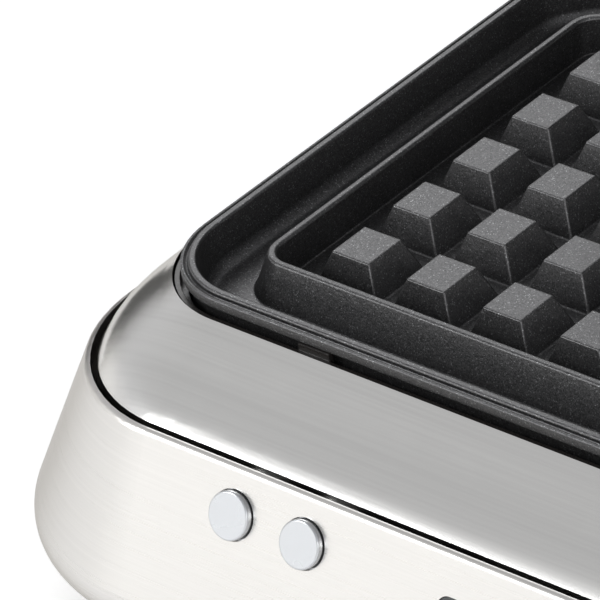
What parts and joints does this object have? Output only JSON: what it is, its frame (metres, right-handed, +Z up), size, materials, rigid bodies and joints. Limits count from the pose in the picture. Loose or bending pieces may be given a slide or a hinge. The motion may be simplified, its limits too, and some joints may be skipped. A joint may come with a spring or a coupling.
{
  "type": "waffle maker",
  "caption": "Square waffle maker with studded non-stick plates, a drip moat, a flared brushed steel body, push buttons, a dial and a lid that stands open.",
  "frame": {"origin": "on the floor under the middle of the box that the appliance fills with its lid open", "axes": "+Z up, +X to the right seen from the front, front at -Y, lid hinge along X at the rear"},
  "size_m": [0.3428, 0.326, 0.3139],
  "materials": {
    "dark_plastic": "fine satin moulding",
    "bezel_plastic": "satin moulding",
    "white_plastic": "plain",
    "switch_plastic": "plain",
    "rubber": "matt",
    "zinc": "bright zinc plating",
    "plain_steel": "bare galvanised sheet",
    "brushed_steel": "horizontal brushing",
    "satin_steel": "fine brushing under a soft shine",
    "handle_steel": "brushed",
    "nonstick": "speckled non-stick coating on cast aluminium",
    "element": "sheathed heating tube",
    "sensor": "plated can",
    "circuit_board": "coated laminate",
    "display_glass": "dark tinted window",
    "display_panel": "liquid crystal cell",
    "hinge_cast": "satin dark grey",
    "button_silver": "satin silver"
  },
  "bodies": {
    "base": {"base_pan": "dark_plastic", "rubber_feet": "rubber", "base_screws": "zinc", "chassis": "plain_steel", "steel_skirt": "brushed_steel", "steel_deck": "satin_steel", "plate_bezel": "bezel_plastic", "lower_plate": "nonstick", "lower_heater": "element", "lower_reflector": "plain_steel", "lower_plate_screws": "zinc", "thermostat": "sensor", "thermal_fuse": "sensor", "power_board": "circuit_board", "terminal_block": "white_plastic", "cord_gland": "dark_plastic", "panel_bracket": "dark_plastic", "control_board": "circuit_board", "button_switches": "switch_plastic", "display_window": "display_glass", "display_module": "display_panel", "dial_control": "switch_plastic", "hinge_brackets": "hinge_cast", "hinge_pins": "zinc"},
    "lid": {"lid_shell": "brushed_steel", "lid_frame": "bezel_plastic", "upper_plate": "nonstick", "upper_heater": "element", "upper_reflector": "plain_steel", "upper_plate_screws": "zinc", "lid_temperature_sensor": "sensor", "lid_hinge_arms": "hinge_cast", "arm_screws": "zinc", "lid_screws": "zinc", "handle_posts": "dark_plastic", "handle_grip": "handle_steel", "handle_screws": "zinc"},
    "outer_button": {"outer_button": "button_silver"},
    "inner_button": {"inner_button": "button_silver"},
    "dial": {"dial_shaft": "zinc", "dial_knob": "button_silver", "dial_pointer": "dark_plastic"}
  },
  "joints": [
    {"name": "lid_hinge", "type": "hinge", "parent": "base", "child": "lid", "pos_m": [0, 0.07397, 0.0764], "axis": [1, 0, 0], "range_deg": [0, 100]},
    {"name": "outer_button_press", "type": "slide", "parent": "base", "child": "outer_button", "axis": [0, 0.9135, -0.4067], "range_m": [0, 0.001], "stiffness_N_per_m": 800},
    {"name": "inner_button_press", "type": "slide", "parent": "base", "child": "inner_button", "axis": [0, 0.9135, -0.4067], "range_m": [0, 0.001], "stiffness_N_per_m": 800},
    {"name": "dial_turn", "type": "hinge", "parent": "base", "child": "dial", "pos_m": [0.076, -0.14587, 0.04082], "axis": [0, -0.9135, 0.4067], "range_deg": [-140, 140]}
  ]
}
